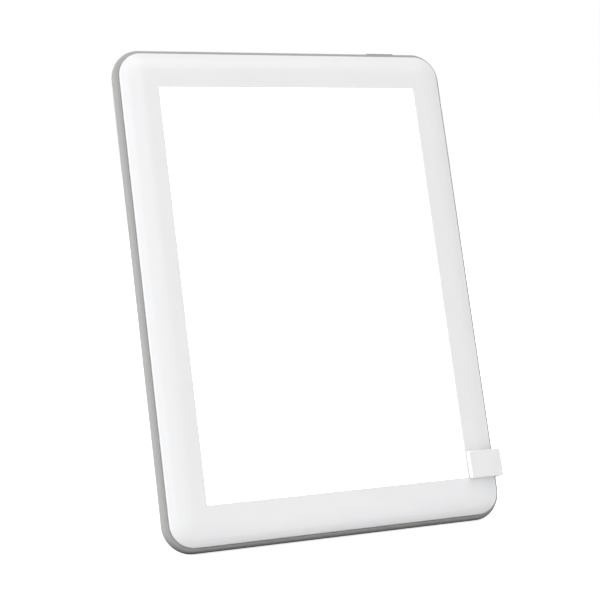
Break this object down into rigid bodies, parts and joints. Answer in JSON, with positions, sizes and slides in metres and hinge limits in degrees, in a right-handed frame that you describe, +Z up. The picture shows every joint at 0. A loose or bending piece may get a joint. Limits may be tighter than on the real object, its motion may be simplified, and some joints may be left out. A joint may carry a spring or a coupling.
{
  "type": "light therapy lamp",
  "caption": "Slim tablet-shaped light therapy lamp: a lit opal window in a white bezel, grey rear shell, push button on the top edge, and a clip-on stand that leans it back.",
  "frame": {"origin": "middle of the underside of the foot strip, on the table plane", "axes": "+X to the right as the lit window is seen, +Y from the window to the back, +Z up from the table; the lamp leans back 18 degrees about X"},
  "size_m": [0.1672, 0.0804, 0.2167],
  "materials": {
    "bezel_white": "satin white moulding",
    "shell_grey": "fine satin grey moulding",
    "stand_white": "satin white moulding",
    "button_grey": "satin grey moulding",
    "opal_panel": "opal, lit from behind",
    "brightness_film": "clear film with fine grooves",
    "clear_acrylic": "clear cast sheet with a printed dot pattern",
    "white_film": "white reflecting film",
    "tray_aluminium": "mill finish sheet",
    "strip_board": "white solder mask",
    "led_package": "white package, lit",
    "foam_dark": "closed-cell foam",
    "board_green": "green solder mask",
    "chip_black": "moulded package",
    "ferrite_grey": "shielded ferrite",
    "capacitor_tan": "ceramic",
    "header_cream": "moulded nylon",
    "lead_white": "white jacket",
    "inlet_black": "moulded",
    "contact_nickel": "nickel plate",
    "switch_black": "moulded nylon",
    "plunger_red": "moulded nylon",
    "screw_steel": "zinc-plated steel",
    "foot_silicone": "matt silicone",
    "grip_silicone": "translucent white silicone"
  },
  "bodies": {
    "lamp": {"front_bezel": "bezel_white", "diffuser_panel": "opal_panel", "prism_film": "brightness_film", "light_guide": "clear_acrylic", "reflector_sheet": "white_film", "backing_tray": "tray_aluminium", "led_strip_right": "strip_board", "led_strip_left": "strip_board", "leds_right": "led_package", "leds_left": "led_package", "foam_strips": "foam_dark", "rear_cover": "shell_grey", "control_board": "board_green", "driver_chip": "chip_black", "inductor": "ferrite_grey", "capacitors": "capacitor_tan", "lead_connectors": "header_cream", "lead_right": "lead_white", "lead_left": "lead_white", "power_jack": "inlet_black", "jack_pin": "contact_nickel", "tact_switch": "switch_black", "case_screws": "screw_steel", "board_screws": "screw_steel", "base_foot": "foot_silicone"},
    "button": {"power_button": "button_grey", "switch_plunger": "plunger_red"},
    "stand": {"stand": "stand_white", "grip_pads": "grip_silicone", "stand_foot": "foot_silicone"}
  },
  "joints": [
    {"name": "button_press", "type": "slide", "parent": "lamp", "child": "button", "axis": [0, -0.309, -0.9511], "range_m": [0, 0.0005], "stiffness_N_per_m": 600, "springref_m": -0.0005},
    {"name": "stand_slide", "type": "slide", "parent": "lamp", "child": "stand", "axis": [1, 0, 0], "range_m": [0, 0.022]}
  ]
}
